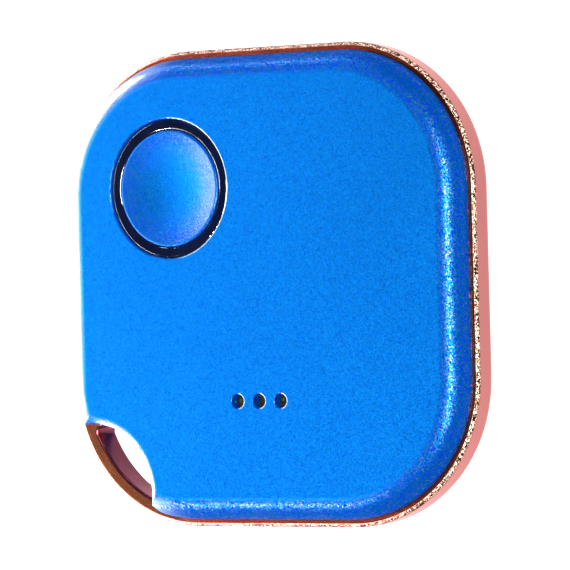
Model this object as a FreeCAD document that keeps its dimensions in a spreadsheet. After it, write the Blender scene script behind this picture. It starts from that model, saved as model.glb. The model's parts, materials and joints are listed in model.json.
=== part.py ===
import FreeCAD, Part

# Square Bluetooth key-finder tag with a press button, a light ring and a key slot.
# The tag lies on its back: +Z points out of the front cover, +Y to the edge above the button,
# and the origin is the middle of the underside.  All sizes are millimetres.

import math
import os
import re

import Sketcher
from FreeCAD import Placement, Rotation, Vector

# Driving dimensions: word used in the formulas, value, what it is.
SIZES = [
    ("width", 36.0, "side of the frame in plan"),
    ("corner", 11.1, "radius of the frame's corners in plan"),
    ("top", 6.0, "height of the front face"),
    ("ledge", 4.2, "top of the frame, where the front cover stands"),
    ("parting", 1.8, "bottom of the frame, where the rear cover meets it"),
    ("front_inset", 0.6, "front cover's edge, in from the frame's edge"),
    ("front_round", 1.7, "rounding of the front cover's edge"),
    ("rear_inset", 0.9, "rear cover's edge, in from the frame's edge"),
    ("rear_round", 1.75, "rounding of the rear cover's edge"),
    ("rim_round", 0.35, "rounding of the frame's front rim"),
    ("back_rim_round", 0.85, "rounding of the frame's rear rim"),
    ("frame_inset", 1.4, "inner wall of the frame, in from its edge"),
    ("spigot_inset", 1.45, "outer wall of a cover's spigot, in from the frame's edge"),
    ("room_inset", 2.15, "inner wall of both covers, in from the frame's edge"),
    ("board_inset", 2.35, "edge of the board and tray, in from the frame's edge"),
    ("skin", 0.8, "thickness of the front cover"),
    ("floor_top", 0.75, "inside of the rear cover's floor"),
    ("spigot_low", 3.4, "lower end of the front cover's spigot"),
    ("spigot_high", 2.5, "upper end of the rear cover's spigot"),
    # Key corner
    ("corner_centre", 6.9, "centre of a frame corner, from the middle, along X and along Y"),
    ("notch_centre", 15.55, "centre of the round notch, left of and below the middle"),
    ("notch_radius", 5.4, "notch in both covers"),
    ("notch_round", 0.7, "rounding of the notch's edge in both covers"),
    ("notch_corner", 1.0, "rounding in plan where the notch meets a cover's edge"),
    ("slot_radius", 5.2, "slot wall on the notch side"),
    ("bar_radius", 9.9, "slot wall on the bar side, about the frame's corner centre"),
    ("slot_tip", 0.45, "rounding of the slot's two ends"),
    ("slot_rim", 0.2, "rounding of the slot's front and rear rims"),
    ("frame_notch", 6.2, "frame's inner wall around the notch"),
    ("spigot_notch", 6.25, "spigot's outer wall around the notch"),
    ("room_notch", 6.95, "covers' inner wall around the notch"),
    ("board_notch", 7.2, "board's and tray's edge around the notch"),
    # Button and light ring
    ("button_x", 7.7, "button, left of the middle"),
    ("button_y", 7.6, "button, above the middle"),
    ("button_radius", 4.4, "button cap"),
    ("button_rim", 5.86, "height of the button's rim"),
    ("dish_low", 5.5, "lowest point of the button's dish"),
    ("dish_radius", 4.2, "edge of the dish"),
    ("cap_low", 5.14, "underside of the cap, outside its stem"),
    ("stem_radius", 1.2, "stem that presses the dome"),
    ("stem_low", 5.02, "lower end of the stem"),
    ("cap_flange", 4.85, "flange that keeps the cap in"),
    ("flange_low", 4.98, "lower side of the cap's flange"),
    ("flange_rise", 0.04, "how far the flange stands above the cap's underside"),
    ("cap_round", 0.12, "rounding of the cap's rim"),
    ("button_hole", 5.25, "hole in the front cover"),
    ("hole_round", 0.16, "rounding of the button opening's outer edge"),
    ("ring_inner", 4.47, "bore of the light ring"),
    ("ring_outer", 5.2, "outside of the light ring"),
    ("ring_top", 5.78, "top of the light ring"),
    ("ring_round", 0.1, "rounding of the light ring's two upper edges"),
    ("ring_flange", 5.7, "flange of the light ring, under the skin"),
    ("ring_step", 4.95, "inside of the ring's flange, clear of the cap's flange"),
    ("ring_low", 5.03, "lower side of the ring's flange"),
    # Sound outlet
    ("sound_y", 8.5, "row of sound holes, below the middle"),
    ("sound_pitch", 1.9, "spacing of the sound holes"),
    ("sound_radius", 0.52, "sound hole"),
    ("sound_round", 0.12, "rounding of a sound hole's outer edge"),
    ("disc_radius", 6.0, "brass disc of the buzzer"),
    ("disc_thick", 0.12, "brass disc and its ceramic layer, each"),
    ("ceramic_radius", 4.5, "ceramic layer"),
    ("gasket_inner", 5.0, "inside of the buzzer's foam ring"),
    ("gasket_low", 5.08, "lower side of the foam ring"),
    ("mesh_length", 6.4, "cloth behind the sound holes"),
    ("mesh_width", 2.4, "cloth behind the sound holes"),
    ("mesh_thick", 0.08, "cloth behind the sound holes"),
    # Coin cell, 2032 size
    ("cell_x", 3.0, "coin cell, right of the middle"),
    ("cell_y", 2.5, "coin cell, above the middle"),
    ("cell_radius", 10.0, "coin cell"),
    ("cell_low", 0.8, "underside of the coin cell"),
    ("cell_high", 4.0, "top of the coin cell"),
    ("can_wall", 0.25, "sheet of the cell's can"),
    ("can_high", 3.7, "upper edge of the cell's can"),
    ("crimp", 0.3, "rounding of the can's bottom and crimped rim"),
    ("lip", 0.2, "thickness of the crimped lip over the seal"),
    ("cap_wall", 0.25, "sheet of the cell's negative cap"),
    ("cathode_high", 2.95, "top of the cell's cathode"),
    ("anode_low", 3.05, "underside of the cell's anode"),
    ("cap_radius", 8.8, "the cell's negative cap"),
    ("cap_shoulder", 9.25, "widest part of the negative cap"),
    # Board, tray and screws
    ("board_low", 4.15, "underside of the board"),
    ("board_high", 4.75, "top of the board"),
    ("tray_low", 1.95, "underside of the tray"),
    ("tray_plate", 0.8, "thickness of the tray's plate"),
    ("tray_high", 4.15, "top of the tray's ring and posts, which carry the board"),
    ("tray_bore", 10.15, "tray's bore for the cell"),
    ("tray_ring", 10.85, "outside of the tray's ring"),
    ("post_radius", 0.7, "tray's posts under the board"),
    ("boss_x", 11.6, "right-hand screw bosses, from the middle along X and along Y"),
    ("boss_left", 13.9, "left-hand screw boss, left of the middle"),
    ("boss_down", 6.2, "left-hand screw boss, below the middle"),
    ("boss_radius", 1.2, "boss on the front cover"),
    ("boss_collar", 1.8, "collar of a boss, which bears on the board"),
    ("boss_low", 2.8, "lower end of a boss"),
    ("boss_bore", 0.5, "bore of a boss"),
    ("screw_radius", 0.48, "shank of a tray screw"),
    ("screw_high", 4.6, "point of a tray screw"),
    ("head_radius", 1.0, "head of a tray screw"),
    ("head_high", 0.5, "height of a tray screw's head"),
    ("lock_y", 13.2, "rear cover's screw, below the middle"),
    ("lock_radius", 0.7, "shank of the rear cover's screw"),
    ("lock_bore", 0.72, "bore in the tray for that shank"),
    ("lock_high", 3.7, "point of that screw"),
    ("lock_head", 1.4, "head of that screw"),
    ("lock_seat", 0.85, "height at which that head seats"),
    ("lock_sunk", 0.12, "how far that head is sunk"),
    ("lock_recess", 1.55, "recess for that head"),
    ("lock_hole", 0.85, "hole in the rear cover for that shank"),
    ("lock_boss", 2.3, "rear cover's boss around that hole"),
    # Dome and lamps
    ("dome_radius", 2.5, "snap dome"),
    ("dome_crown", 1.2, "flat crown of the snap dome"),
    ("dome_high", 4.98, "top of the snap dome"),
    ("dome_sheet", 0.06, "sheet of the snap dome"),
    ("film_radius", 3.4, "film over the snap dome"),
    ("film_high", 5.01, "top of the film"),
    ("lamp_orbit", 5.45, "lamps, from the button's middle"),
    ("lamp_side", 0.5, "side of a status lamp"),
    ("lamp_high", 0.25, "height of a lamp"),
]

# Chips under the board: node, then length, width, height and place of each solid.
CHIPS = {
    "bluetooth_chip": [(5.0, 5.0, 0.85, -11.4, 0.8)],
    "chip_antenna": [(1.6, 5.0, 1.1, -13.6, 7.6)],
    "crystals": [(3.2, 1.6, 0.75, -12.0, -3.6), (2.0, 1.6, 0.55, -8.8, -9.4)],
    "capacitors": [(1.0, 0.5, 0.5, -14.9, 4.1 - 0.9 * k) for k in range(7)]
    + [(0.5, 1.0, 0.5, -6.2 + 0.9 * k, -12.9) for k in range(4)],
    "resistors": [(1.0, 0.5, 0.35, -9.4 - 1.4 * k, 4.6) for k in range(3)]
    + [(0.5, 1.0, 0.35, 3.4 + 0.9 * k, -12.9) for k in range(5)],
}
LAMP_ANGLES = (70, 160, 250, 340)
POSTS = [("-11.6", "11.6"), ("-5.6", "14.4"), ("14.6", "-6.4"), ("7.5", "-14.4")]
OVERLAP = 0.1  # how far a cutting tool runs past the face it opens

doc = FreeCAD.newDocument("tag")
sizes = doc.addObject("Spreadsheet::Sheet", "Sizes")
for row, (word, value, meaning) in enumerate(SIZES, start=1):
    sizes.set(f"A{row}", word)
    sizes.set(f"B{row}", str(value))
    sizes.set(f"C{row}", meaning)
    sizes.setAlias(f"B{row}", word)
doc.recompute()


def bound(formula):
    """The formula with each of its words pointing at that word's cell."""
    return re.sub(r"[a-z][a-z_]+", r"Sizes.\g<0>", formula)


def number(formula):
    """What a formula of the sheet's words comes to."""
    return float(sizes.evalExpression(bound(formula)))


# ---- Sketches, each drawn about its own origin and placed by its attachment ----


def new_sketch(body, plane, x="0", y="0", z="0"):
    """A sketch on one of the body's origin planes, moved to x, y, z in that plane's own axes."""
    support = next(f for f in body.Origin.OriginFeatures if f.Role == plane)
    sketch = body.newObject("Sketcher::SketchObject", body.Name + "_sketch")
    sketch.AttachmentSupport = [(support, "")]
    sketch.MapMode = "FlatFace"
    for axis, formula in zip("xyz", (x, y, z)):
        sketch.setExpression("AttachmentOffset.Base." + axis, bound(formula))
    return sketch


def hold(sketch, kind, *where, formula):
    """Adds a dimension to the sketch and binds it to the formula."""
    index = sketch.addConstraint(Sketcher.Constraint(kind, *where, number(formula)))
    sketch.setExpression(f"Constraints[{index}]", bound(formula))


def pin(sketch, axis, geometry, point, formula):
    """Fixes one coordinate of a point, measured from the sketch's origin."""
    value = number(formula)
    if abs(value) < 1e-9:
        sketch.addConstraint(
            Sketcher.Constraint("PointOnObject", geometry, point, -2 if axis == "X" else -1)
        )
    elif value > 0:
        hold(sketch, "Distance" + axis, -1, 1, geometry, point, formula=formula)
    else:
        hold(sketch, "Distance" + axis, geometry, point, -1, 1, formula=f"-({formula})")


def circle(sketch, radius, x="0", y="0"):
    middle = Vector(number(x), number(y), 0)
    index = sketch.addGeometry(Part.Circle(middle, Vector(0, 0, 1), number(radius)))
    hold(sketch, "Radius", index, formula=radius)
    pin(sketch, "X", index, 3, x)
    pin(sketch, "Y", index, 3, y)


def rounded_square(sketch, side, radius):
    """Four lines and four tangent quarter circles about the origin."""
    half, r = number(side) / 2, number(radius)
    for k in range(4):
        turn = Rotation(Vector(0, 0, 1), 90 * k)
        start = turn.multVec(Vector(half, -(half - r), 0))
        end = turn.multVec(Vector(half, half - r, 0))
        middle = turn.multVec(Vector(half - r, half - r, 0))
        sketch.addGeometry(Part.LineSegment(start, end))
        round_edge = Part.Circle(middle, Vector(0, 0, 1), r)
        angle = math.radians(90 * k)
        sketch.addGeometry(Part.ArcOfCircle(round_edge, angle, angle + math.pi / 2))
    for k in range(4):
        line, arc, following = 2 * k, 2 * k + 1, (2 * k + 2) % 8
        sketch.addConstraint(Sketcher.Constraint("Tangent", line, 2, arc, 1))
        sketch.addConstraint(Sketcher.Constraint("Tangent", arc, 2, following, 1))
        upright = "Vertical" if k % 2 == 0 else "Horizontal"
        sketch.addConstraint(Sketcher.Constraint(upright, line))
        if k:
            sketch.addConstraint(Sketcher.Constraint("Equal", 1, arc))
    hold(sketch, "Radius", 1, formula=radius)
    hold(sketch, "DistanceX", 4, 1, 0, 1, formula=side)
    hold(sketch, "DistanceY", 6, 1, 2, 1, formula=side)
    sketch.addConstraint(Sketcher.Constraint("Symmetric", 1, 3, 5, 3, -1, 1))


def polygon(sketch, points, arcs=()):
    """A closed outline through the points.  arcs names the sides that are arcs, each with its
    centre's X; the arc's ends and that X fix it."""
    arcs = dict(arcs)
    here = [Vector(number(x), number(y), 0) for x, y in points]
    count = len(here)
    ends = []
    for k, a in enumerate(here):
        b = here[(k + 1) % count]
        if k not in arcs:
            sketch.addGeometry(Part.LineSegment(a, b))
            ends.append((1, 2))
            continue
        cx = number(arcs[k])
        cy = ((a.x - cx) ** 2 - (b.x - cx) ** 2 + a.y**2 - b.y**2) / (2 * (a.y - b.y))
        middle = Vector(cx, cy, 0)
        whole = Part.Circle(middle, Vector(0, 0, 1), (a - middle).Length)
        swept = (a - middle).cross(b - middle).z
        first, last = (a, b) if swept > 0 else (b, a)
        angles = [math.atan2(p.y - cy, p.x - cx) for p in (first, last)]
        sketch.addGeometry(Part.ArcOfCircle(whole, *angles))
        ends.append((1, 2) if swept > 0 else (2, 1))
    for k in range(count):
        following = (k + 1) % count
        sketch.addConstraint(
            Sketcher.Constraint("Coincident", k, ends[k][1], following, ends[following][0])
        )
    for k, (x, y) in enumerate(points):
        pin(sketch, "X", k, ends[k][0], x)
        pin(sketch, "Y", k, ends[k][0], y)
    for k, centre_x in arcs.items():
        pin(sketch, "X", k, 3, centre_x)


# ---- Features ----


def new_body(name):
    return doc.addObject("PartDesign::Body", name)


def feature(body, kind, sketch, **formulas):
    """A sketch-based feature of the body, with its sizes bound to the sheet."""
    made = body.newObject("PartDesign::" + kind, body.Name + "_" + kind.lower())
    made.Profile = sketch
    for size, formula in formulas.items():
        made.setExpression(size, bound(formula))
    sketch.Visibility = False
    return made


def drill(body, radius, x, y, start, depth):
    """A round pocket that goes down from the height start."""
    sketch = new_sketch(body, "XY_Plane", x, y, start)
    circle(sketch, radius)
    return feature(body, "Pocket", sketch, Length=depth)


def plate(name, inset, low, high, notch=None):
    """A body: the rounded square, inset from the frame's edge, between two heights, with the
    key corner cut away at the notch radius."""
    body = new_body(name)
    sketch = new_sketch(body, "XY_Plane", z=low)
    rounded_square(sketch, f"width - 2 * ({inset})", f"corner - ({inset})")
    feature(body, "Pad", sketch, Length=f"{high} - ({low})")
    if notch:
        drill(body, notch, "-notch_centre", "-notch_centre", high, f"{high} - ({low})")
    return body


def turned(name, points, arcs=(), x="0", y="0"):
    """A body turned about the upright axis through x, y from a half section of radii and heights."""
    body = new_body(name)
    sketch = new_sketch(body, "XZ_Plane", x, z=f"-({y})")
    polygon(sketch, points, arcs)
    made = feature(body, "Revolution", sketch)
    made.ReferenceAxis = (sketch, ["V_Axis"])
    made.Angle = 360
    return body


def round_edges(body, radius, chosen):
    """Rounds the body's edges for which chosen(edge) is true."""
    doc.recompute()
    base = body.Tip
    names = [f"Edge{k}" for k, edge in enumerate(base.Shape.Edges, start=1) if chosen(edge)]
    made = body.newObject("PartDesign::Fillet", body.Name + "_fillet")
    made.Base = (base, names)
    made.setExpression("Radius", bound(radius))
    return made


def lies_at(height):
    """Tells whether an edge lies flat at that height."""
    level = number(height)
    return lambda edge: max(abs(edge.BoundBox.ZMin - level), abs(edge.BoundBox.ZMax - level)) < 1e-4


def ends_notch(edge):
    """Tells whether an edge is upright and lies where the notch meets a cover's edge."""
    upright = edge.BoundBox.ZLength > max(edge.BoundBox.XLength, edge.BoundBox.YLength) + 1e-3
    across = edge.BoundBox.Center + Vector(number("notch_centre"), number("notch_centre"), 0)
    return upright and abs(math.hypot(across.x, across.y) - number("notch_radius")) < 1e-3


def box(name, length, wide, high, x, y, z):
    """A box about x, y, standing on the height z."""
    made = doc.addObject("Part::Box", name)
    made.setExpression("Length", bound(length))
    made.setExpression("Width", bound(wide))
    made.setExpression("Height", bound(high))
    made.setExpression("Placement.Base.x", bound(f"{x} - ({length}) / 2"))
    made.setExpression("Placement.Base.y", bound(f"{y} - ({wide}) / 2"))
    made.setExpression("Placement.Base.z", bound(z))
    return made


def rod(name, radius, low, high, x="0", y="0"):
    """An upright cylinder between two heights."""
    made = doc.addObject("Part::Cylinder", name)
    made.setExpression("Radius", bound(radius))
    made.setExpression("Height", bound(f"{high} - ({low})"))
    made.setExpression("Placement.Base.x", bound(x))
    made.setExpression("Placement.Base.y", bound(y))
    made.setExpression("Placement.Base.z", bound(low))
    return made


def combine(kind, name, *shapes):
    """Fuses or keeps what is common to the shapes."""
    made = doc.addObject("Part::Multi" + kind, name)
    made.Shapes = list(shapes)
    return made


def cut(name, base, tool):
    made = doc.addObject("Part::Cut", name)
    made.Base = base
    made.Tool = tool
    return made


def group(name, solids):
    """Separate solids kept as one piece."""
    made = doc.addObject("Part::Compound", name)
    made.Links = solids
    return made


# ---- Casing ----


def cover_form(name, inset, low, high, edge_round, outer_face):
    """A cover's outer form: one body rounds its outside edge, a second its notch, and the
    cover is what is common to both."""
    rounded = plate(name + "_rounded", inset, low, high)
    round_edges(rounded, edge_round, lies_at(outer_face))
    notched = plate(name + "_notched", inset, low, high, "notch_radius")
    round_edges(notched, "notch_corner", ends_notch)
    round_edges(notched, "notch_round", lies_at(outer_face))
    return combine("Common", name + "_outside", rounded, notched)


def boss_places():
    return [("boss_x", "boss_x"), ("boss_x", "-boss_x"), ("-boss_left", "-boss_down")]


def mouth(radius, rounding):
    """Half section of the tool for a round opening in the front skin, with a rounded outer edge.
    The rounding stops just short of the face, so the tool and the face never touch along a line."""
    points = [
        ("0", f"top - skin - {OVERLAP}"),
        (radius, f"top - skin - {OVERLAP}"),
        (radius, f"top - 0.98 * {rounding}"),
        (f"{radius} + 0.8 * {rounding}", "top"),
        (f"{radius} + 0.8 * {rounding}", f"top + {OVERLAP}"),
        ("0", f"top + {OVERLAP}"),
    ]
    return points, {2: f"{radius} + {rounding}"}


def front_cover():
    dome = cover_form("front", "front_inset", "ledge", "top", "front_round", "top")
    spigot = plate("front_spigot", "spigot_inset", "spigot_low", "ledge", "spigot_notch")
    room = plate("front_room", "room_inset", f"spigot_low - {OVERLAP}", "top - skin", "room_notch")
    shell = cut("front_shell", combine("Fuse", "front_solid", dome, spigot), room)
    bosses = [
        rod(f"front_boss_{k}", "boss_radius", "boss_low", f"top - skin + {OVERLAP}", *place)
        for k, place in enumerate(boss_places())
    ]
    bosses += [
        rod(f"front_collar_{k}", "boss_collar", "board_high", f"top - skin + {OVERLAP}", *place)
        for k, place in enumerate(boss_places())
    ]
    holes = [
        rod(f"front_bore_{k}", "boss_bore", f"boss_low - {OVERLAP}", "top - skin - 0.2", *place)
        for k, place in enumerate(boss_places())
    ]
    points, arcs = mouth("button_hole", "hole_round")
    holes.append(turned("button_opening", points, arcs, x="-button_x", y="button_y"))
    points, arcs = mouth("sound_radius", "sound_round")
    for k in (-1, 0, 1):
        holes.append(turned(f"sound_hole_{k + 1}", points, arcs, x=f"{k} * sound_pitch", y="-sound_y"))
    with_bosses = combine("Fuse", "front_with_bosses", shell, *bosses)
    return cut("front_cover", with_bosses, combine("Fuse", "front_holes", *holes))


def key_slot():
    """The lens-shaped slot between the bar and the notch, with rounded tips."""
    low, high = f"parting - {OVERLAP}", f"ledge + {OVERLAP}"
    bar_side = rod("slot_bar_side", "bar_radius", low, high, "-corner_centre", "-corner_centre")
    notch_side = rod("slot_notch_side", "slot_radius", low, high, "-notch_centre", "-notch_centre")
    lens = combine("Common", "slot_lens", bar_side, notch_side)
    doc.recompute()
    tips = [
        (k, number("slot_tip"), number("slot_tip"))
        for k, edge in enumerate(lens.Shape.Edges, start=1)
        if edge.BoundBox.ZLength > number(f"{high} - ({low})") - 1e-3
    ]
    slot = doc.addObject("Part::Fillet", "slot_tool")
    slot.Base = lens
    slot.Edges = tips
    return slot


def frame():
    room = plate("frame_room", "frame_inset", f"parting - {OVERLAP}", f"ledge + {OVERLAP}", "frame_notch")
    outside = plate("frame_outside", "0", "parting", "ledge")
    round_edges(outside, "back_rim_round", lies_at("parting"))
    round_edges(outside, "rim_round", lies_at("ledge"))
    ring = cut("frame_ring", outside, room)
    slotted = cut("frame_slotted", ring, key_slot())
    doc.recompute()
    rims = []
    corner = Vector(-number("notch_centre"), -number("notch_centre"), 0)
    reach = number("slot_radius") + 0.05
    for k, edge in enumerate(slotted.Shape.Edges, start=1):
        middle = edge.valueAt(edge.FirstParameter + (edge.LastParameter - edge.FirstParameter) / 2)
        flat = edge.BoundBox.ZLength < 1e-4
        beside_slot = (Vector(middle.x, middle.y, 0) - corner).Length < reach
        inside_bar = math.hypot(middle.x + number("corner_centre"), middle.y + number("corner_centre"))
        if flat and beside_slot and inside_bar < number("bar_radius") + 0.05:
            rims.append((k, number("slot_rim"), number("slot_rim")))
    made = doc.addObject("Part::Fillet", "frame")
    made.Base = slotted
    made.Edges = rims
    return made


def rear_cover():
    tub = cover_form("rear", "rear_inset", "0", "parting", "rear_round", "0")
    spigot = plate("rear_spigot", "spigot_inset", "parting", "spigot_high", "spigot_notch")
    solid = combine("Fuse", "rear_solid", tub, spigot)
    room = plate("rear_room", "room_inset", "floor_top", f"spigot_high + {OVERLAP}", "room_notch")
    lock = {"x": "0", "y": "-lock_y"}
    boss = rod("rear_boss", "lock_boss", f"floor_top - {OVERLAP}", "tray_low - 0.05", **lock)
    shell = combine("Fuse", "rear_shell", cut("rear_hollow", solid, room), boss)
    recess = rod("rear_recess", "lock_recess", f"-{OVERLAP}", "lock_seat", **lock)
    hole = rod("rear_hole", "lock_hole", "0", "tray_low", **lock)
    return cut("rear_cover", shell, combine("Fuse", "rear_opening", recess, hole))


# ---- Button, light ring and dome ----


def button_cap():
    section = [
        ("0", "stem_low"),
        ("stem_radius", "stem_low"),
        ("stem_radius", "cap_low"),
        ("button_radius", "cap_low"),
        ("button_radius", "flange_low"),
        ("cap_flange", "flange_low"),
        ("cap_flange", "cap_low + flange_rise"),
        ("button_radius", "cap_low + flange_rise"),
        ("button_radius", "button_rim - cap_round"),
        ("button_radius - cap_round", "button_rim"),
        ("dish_radius", "button_rim"),
        ("0", "dish_low"),
    ]
    arcs = {8: "button_radius - cap_round", 10: "0"}
    return turned("button_cap", section, arcs, x="-button_x", y="button_y")


def light_ring():
    section = [
        ("ring_inner", "top - skin"),
        ("ring_step", "top - skin"),
        ("ring_step", "ring_low"),
        ("ring_flange", "ring_low"),
        ("ring_flange", "top - skin"),
        ("ring_outer", "top - skin"),
        ("ring_outer", "ring_top - ring_round"),
        ("ring_outer - ring_round", "ring_top"),
        ("ring_inner + ring_round", "ring_top"),
        ("ring_inner", "ring_top - ring_round"),
    ]
    arcs = {6: "ring_outer - ring_round", 8: "ring_inner + ring_round"}
    return turned("light_ring", section, arcs, x="-button_x", y="button_y")


def snap_dome():
    section = [
        ("dome_radius - dome_sheet", "board_high"),
        ("dome_radius", "board_high"),
        ("dome_crown", "dome_high"),
        ("0", "dome_high"),
        ("0", "dome_high - dome_sheet"),
        ("dome_crown", "dome_high - dome_sheet"),
    ]
    return turned("snap_dome", section, x="-button_x", y="button_y")


def dome_film():
    """The film that holds the dome down; it lies on the dome's sheet and on the board."""
    section = [
        ("dome_radius", "board_high"),
        ("film_radius", "board_high"),
        ("film_radius", "board_high + 0.03"),
        ("dome_radius + 0.02", "board_high + 0.03"),
        ("dome_crown + 0.01", "film_high"),
        ("0", "film_high"),
        ("0", "dome_high"),
        ("dome_crown", "dome_high"),
    ]
    return turned("dome_film", section, x="-button_x", y="button_y")


def status_lamps():
    lamps = []
    for k, angle in enumerate(LAMP_ANGLES):
        out = Vector(math.cos(math.radians(angle)), math.sin(math.radians(angle)), 0)
        x = f"-button_x + {out.x:.4f} * lamp_orbit"
        y = f"button_y + {out.y:.4f} * lamp_orbit"
        lamps.append(box(f"lamp_{k}", "lamp_side", "lamp_side", "lamp_high", x, y, "board_high"))
    return group("status_lamps", lamps)


# ---- Buzzer ----


def buzzer():
    place = {"x": "0", "y": "-sound_y"}
    gasket_high = "top - skin"
    disc_low = "gasket_low - disc_thick"
    outer = rod("gasket_outside", "disc_radius", "gasket_low", gasket_high, **place)
    inner = rod("gasket_inside", "gasket_inner", "gasket_low", gasket_high, **place)
    legs = [
        box(name, "0.8", "0.6", f"{reach} - board_high", x, "-sound_y", "board_high")
        for name, reach, x in (
            ("ceramic_leg", f"{disc_low} - disc_thick", "-2.2"),
            ("disc_leg", disc_low, "5.2"),
        )
    ]
    return {
        "buzzer_gasket": cut("buzzer_gasket", outer, inner),
        "buzzer_disc": rod("buzzer_disc", "disc_radius", disc_low, "gasket_low", **place),
        "buzzer_ceramic": rod(
            "buzzer_ceramic", "ceramic_radius", f"{disc_low} - disc_thick", disc_low, **place
        ),
        "buzzer_contacts": group("buzzer_contacts", legs),
        "sound_mesh": box(
            "sound_mesh",
            "mesh_length",
            "mesh_width",
            "mesh_thick",
            "0",
            "-sound_y",
            "top - skin - mesh_thick",
        ),
    }


# ---- Coin cell and its contacts ----


def coin_cell():
    place = {"x": "cell_x", "y": "cell_y"}
    can = [
        ("0", "cell_low"),
        ("cell_radius - crimp", "cell_low"),
        ("cell_radius", "cell_low + crimp"),
        ("cell_radius", "can_high - crimp"),
        ("cell_radius - crimp", "can_high"),
        ("cell_radius - crimp", "can_high - lip"),
        ("cell_radius - can_wall", "can_high - 0.35"),
        ("cell_radius - can_wall", "cell_low + 0.35"),
        ("cell_radius - 0.4", "cell_low + can_wall"),
        ("0", "cell_low + can_wall"),
    ]
    gasket = [
        ("cap_shoulder", "cell_low + can_wall"),
        ("cell_radius - 0.45", "cell_low + can_wall"),
        ("cell_radius - can_wall", "cell_low + 0.5"),
        ("cell_radius - can_wall", "can_high - 0.45"),
        ("cell_radius - crimp", "can_high - crimp"),
        ("cell_radius - 0.6", "can_high - 0.1"),
        ("cap_shoulder - lip", "can_high - 0.1"),
        ("cap_shoulder", "can_high - 0.6"),
    ]
    cap = [
        ("0", "cell_high"),
        ("cap_radius - 0.15", "cell_high"),
        ("cap_radius", "cell_high - 0.15"),
        ("cap_radius", "can_high - lip"),
        ("cap_shoulder", "can_high - 0.6"),
        ("cap_shoulder", "cell_low + 0.5"),
        ("cap_shoulder - cap_wall", "cell_low + 0.5"),
        ("cap_shoulder - cap_wall", "can_high - 0.7"),
        ("cap_radius - cap_wall", "can_high - crimp"),
        ("cap_radius - cap_wall", "cell_high - cap_wall"),
        ("0", "cell_high - cap_wall"),
    ]
    fill = "cap_shoulder - cap_wall - 0.1"
    anode_fill = "cap_radius - cap_wall - 0.1"
    return {
        "cell_can": turned("cell_can", can, **place),
        "cell_gasket": turned("cell_gasket", gasket, **place),
        "cell_cap": turned("cell_cap", cap, **place),
        "cell_cathode": rod("cell_cathode", fill, "cell_low + can_wall", "cathode_high", **place),
        "cell_separator": rod("cell_separator", fill, "cathode_high", "anode_low", **place),
        "cell_anode": rod("cell_anode", anode_fill, "anode_low", "cell_high - cap_wall", **place),
    }


def positive_contact():
    """A bent strip: its blade bears on the can's side and its foot is soldered to the board."""
    side = "cell_x + cell_radius"
    blade = box("blade", "0.18", "4", "board_low - 1.6", f"{side} + 0.11", "cell_y", "1.6")
    foot = box("foot", "1.4", "4", "0.15", f"{side} + 0.72", "cell_y", "board_low - 0.15")
    return combine("Fuse", "positive_contact", blade, foot)


def negative_contact():
    """A flat cross of spring sheet between the cell's cap and the board."""
    sheet = "board_low - cell_high"
    arms = [
        box("arm_along", "12", "2.4", sheet, "cell_x", "cell_y", "cell_high"),
        box("arm_across", "2.4", "8", sheet, "cell_x", "cell_y", "cell_high"),
    ]
    return combine("Fuse", "negative_contact", *arms)


# ---- Board, tray and screws ----


def circuit_board():
    blank = plate("board_blank", "board_inset", "board_low", "board_high", "board_notch")
    reliefs = [
        rod(f"board_relief_{k}", "boss_radius + 0.15", "board_low", "board_high", *place)
        for k, place in enumerate(boss_places())
    ]
    return cut("circuit_board", blank, combine("Fuse", "board_reliefs", *reliefs))


def battery_tray():
    web_high = "tray_low + tray_plate"
    below = f"tray_low - {OVERLAP}"
    above = f"tray_high + {OVERLAP}"
    web = plate("tray_web", "board_inset", "tray_low", web_high, "board_notch")
    ring = rod("tray_ring_outside", "tray_ring", "tray_low", "tray_high", "cell_x", "cell_y")
    lock = rod("tray_lock_boss", "lock_radius + 0.8", web_high, "tray_high", "0", "-lock_y")
    posts = [
        rod(f"tray_post_{k}", "post_radius", web_high, "tray_high", *place)
        for k, place in enumerate(POSTS)
    ]
    solid = combine("Fuse", "tray_solid", web, ring, lock, *posts)
    gap_x = "cell_x + cell_radius + 0.9"
    bores = [
        rod("tray_cell_bore", "tray_bore", below, above, "cell_x", "cell_y"),
        rod("tray_lock_bore", "lock_bore", below, "tray_high - 0.2", "0", "-lock_y"),
        box("tray_contact_gap", "2", "4.6", f"{above} - ({below})", gap_x, "cell_y", below),
    ]
    bores += [
        rod(f"tray_screw_bore_{k}", "boss_bore + 0.1", below, f"{web_high} + {OVERLAP}", *place)
        for k, place in enumerate(boss_places())
    ]
    return cut("battery_tray", solid, combine("Fuse", "tray_bores", *bores))


def pan_screw(name, shank, head, point, seat, head_low, x, y):
    """A pan-head screw, point up, with a cross recess in its head."""
    section = [
        ("0", head_low),
        (f"{head} - 0.2", head_low),
        (head, f"{head_low} + 0.2"),
        (head, seat),
        (shank, seat),
        (shank, f"{point} - {shank}"),
        ("0", point),
    ]
    blank = turned(name + "_blank", section, x=x, y=y)
    depth = f"0.6 * ({seat} - ({head_low}))"
    long, short = f"1.3 * {head}", f"0.28 * {head}"
    wings = [
        box(name + "_wing_along", long, short, depth, x, y, head_low),
        box(name + "_wing_across", short, long, depth, x, y, head_low),
    ]
    return cut(name, blank, combine("Fuse", name + "_recess", *wings))


def tray_screws():
    head_low = "tray_low - head_high"
    heights = {"point": "screw_high", "seat": "tray_low", "head_low": head_low}
    screws = [
        pan_screw(f"tray_screw_{k}", "screw_radius", head="head_radius", x=x, y=y, **heights)
        for k, (x, y) in enumerate(boss_places())
    ]
    return group("tray_screws", screws)


def cover_screw():
    heights = {"point": "lock_high", "seat": "lock_seat", "head_low": "lock_sunk"}
    return pan_screw("cover_screw", "lock_radius", head="lock_head", x="0", y="-lock_y", **heights)


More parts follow.
